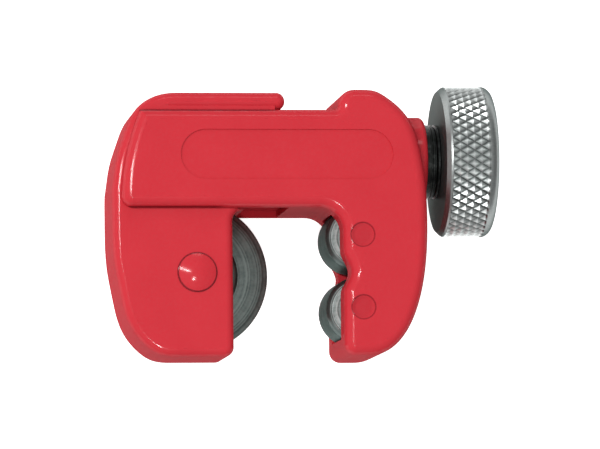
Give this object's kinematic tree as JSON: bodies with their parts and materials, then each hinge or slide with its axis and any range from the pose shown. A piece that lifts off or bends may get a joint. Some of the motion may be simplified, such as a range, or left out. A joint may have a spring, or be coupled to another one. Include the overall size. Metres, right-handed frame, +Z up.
{
  "type": "mini pipe cutter",
  "caption": "Small hand pipe cutter: a red roller frame and wheel slide drawn together by a knurled knob and feed screw, with a cutter wheel facing steel guide rollers.",
  "frame": {"origin": "under the middle of the tool lying on its back, on the level that the knob's rim touches", "axes": "+X from the wheel slide towards the knob, +Y from the jaws towards the feed screw, +Z up out of the front faces of the castings"},
  "size_m": [0.0482, 0.0344, 0.0191],
  "materials": {
    "red_enamel": "glossy red enamel on a casting",
    "wheel_steel": "turned and hardened steel, dark grey",
    "roller_steel": "turned steel, mid grey",
    "pin_steel": "plain ground steel",
    "screw_steel": "blackened steel",
    "knob_metal": "knurled bare metal",
    "black_oxide": "black oxide"
  },
  "bodies": {
    "frame": {"roller_frame": "red_enamel", "upper_roller_pin": "pin_steel", "lower_roller_pin": "pin_steel", "retaining_bush": "black_oxide", "inner_thrust_washer": "pin_steel", "outer_thrust_washer": "pin_steel"},
    "slide": {"wheel_slide": "red_enamel", "wheel_axle": "pin_steel"},
    "knob": {"knob": "knob_metal", "feed_screw": "screw_steel", "knob_pin": "pin_steel", "knob_washer": "black_oxide"},
    "wheel": {"cutter_wheel": "wheel_steel"},
    "roller_upper": {"upper_roller": "roller_steel"},
    "roller_lower": {"lower_roller": "roller_steel"}
  },
  "joints": [
    {"name": "knob_turn", "type": "hinge", "parent": "frame", "child": "knob", "pos_m": [0.02075, 0.00765, 0.00955], "axis": [-1, 0, 0], "range_deg": [-3240, 2304]},
    {"name": "jaw_slide", "type": "slide", "parent": "frame", "child": "slide", "axis": [1, 0, 0], "range_m": [-0.009, 0.0064]},
    {"name": "wheel_spin", "type": "hinge", "parent": "slide", "child": "wheel", "pos_m": [-0.01365, -0.00675, 0.00955], "axis": [0, 0, 1], "continuous": true},
    {"name": "upper_roller_spin", "type": "hinge", "parent": "frame", "child": "roller_upper", "pos_m": [0.0068, -0.00225, 0.00955], "axis": [0, 0, 1], "continuous": true},
    {"name": "lower_roller_spin", "type": "hinge", "parent": "frame", "child": "roller_lower", "pos_m": [0.0068, -0.01125, 0.00955], "axis": [0, 0, 1], "continuous": true}
  ],
  "couplings": [
    {"joint": "knob_turn", "follows": "jaw_slide", "rad_per_m": 6283.2}
  ]
}
